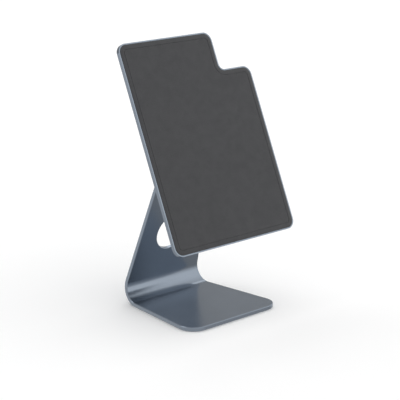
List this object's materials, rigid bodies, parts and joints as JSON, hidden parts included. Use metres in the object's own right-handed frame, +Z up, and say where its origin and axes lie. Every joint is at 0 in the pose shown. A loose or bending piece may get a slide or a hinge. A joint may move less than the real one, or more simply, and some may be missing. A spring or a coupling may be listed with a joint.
{
  "type": "tablet stand",
  "caption": "Magnetic tablet stand: bent aluminium sheet base with a cable hole, a friction tilt hinge and a turning magnetic plate with a camera cut-away.",
  "frame": {"origin": "centre of the foot pad's resting face, midway between the foot's front edge and the back of the bend, on the centre plane", "axes": "+X the viewer's right, -Y the front, towards the viewer, +Z up"},
  "size_m": [0.199, 0.1467, 0.3428],
  "materials": {
    "anodised_sheet": "bead-blasted, slate-blue anodised, matte satin",
    "anodised_cast": "fine blasted, slate-blue anodised, matte satin",
    "silicone_foot": "matte silicone",
    "zinc_steel": "machined, zinc plated",
    "black_screw": "black oxide",
    "bronze": "sintered bronze, oily satin",
    "slip_film": "smooth low-friction plastic",
    "carrier_plastic": "moulded, fine texture",
    "magnet_nickel": "nickel plated, dull",
    "grip_skin": "soft-touch silicone skin, fine texture"
  },
  "bodies": {
    "base": {"base_plate": "anodised_sheet", "foot_pad": "silicone_foot", "hinge_bracket": "anodised_cast", "bracket_screws": "black_screw", "hinge_shaft": "zinc_steel", "friction_washer_left": "bronze", "friction_washer_right": "bronze", "disc_springs": "zinc_steel", "thrust_washer": "zinc_steel", "shaft_nut": "zinc_steel", "end_cap_left": "anodised_cast", "end_cap_right": "anodised_cast"},
    "tilt_head": {"tilt_arm": "anodised_cast", "bush_left": "bronze", "bush_right": "bronze"},
    "tablet_plate": {"retainer_ring": "anodised_cast", "slip_washer_rear": "slip_film", "slip_washer_front": "slip_film", "swivel_spring": "zinc_steel", "plate_shell": "anodised_sheet", "ring_screws": "zinc_steel", "magnet_carrier": "carrier_plastic", "yoke_strips": "zinc_steel", "magnets": "magnet_nickel", "grip_pad": "grip_skin"}
  },
  "joints": [
    {"name": "tilt", "type": "hinge", "parent": "base", "child": "tilt_head", "pos_m": [0, -0.00134, 0.21384], "axis": [-1, 0, 0], "range_deg": [-34, 66]},
    {"name": "turn", "type": "hinge", "parent": "tilt_head", "child": "tablet_plate", "pos_m": [0, -0.01596, 0.22035], "axis": [0, -0.9135, 0.4067], "continuous": true}
  ]
}
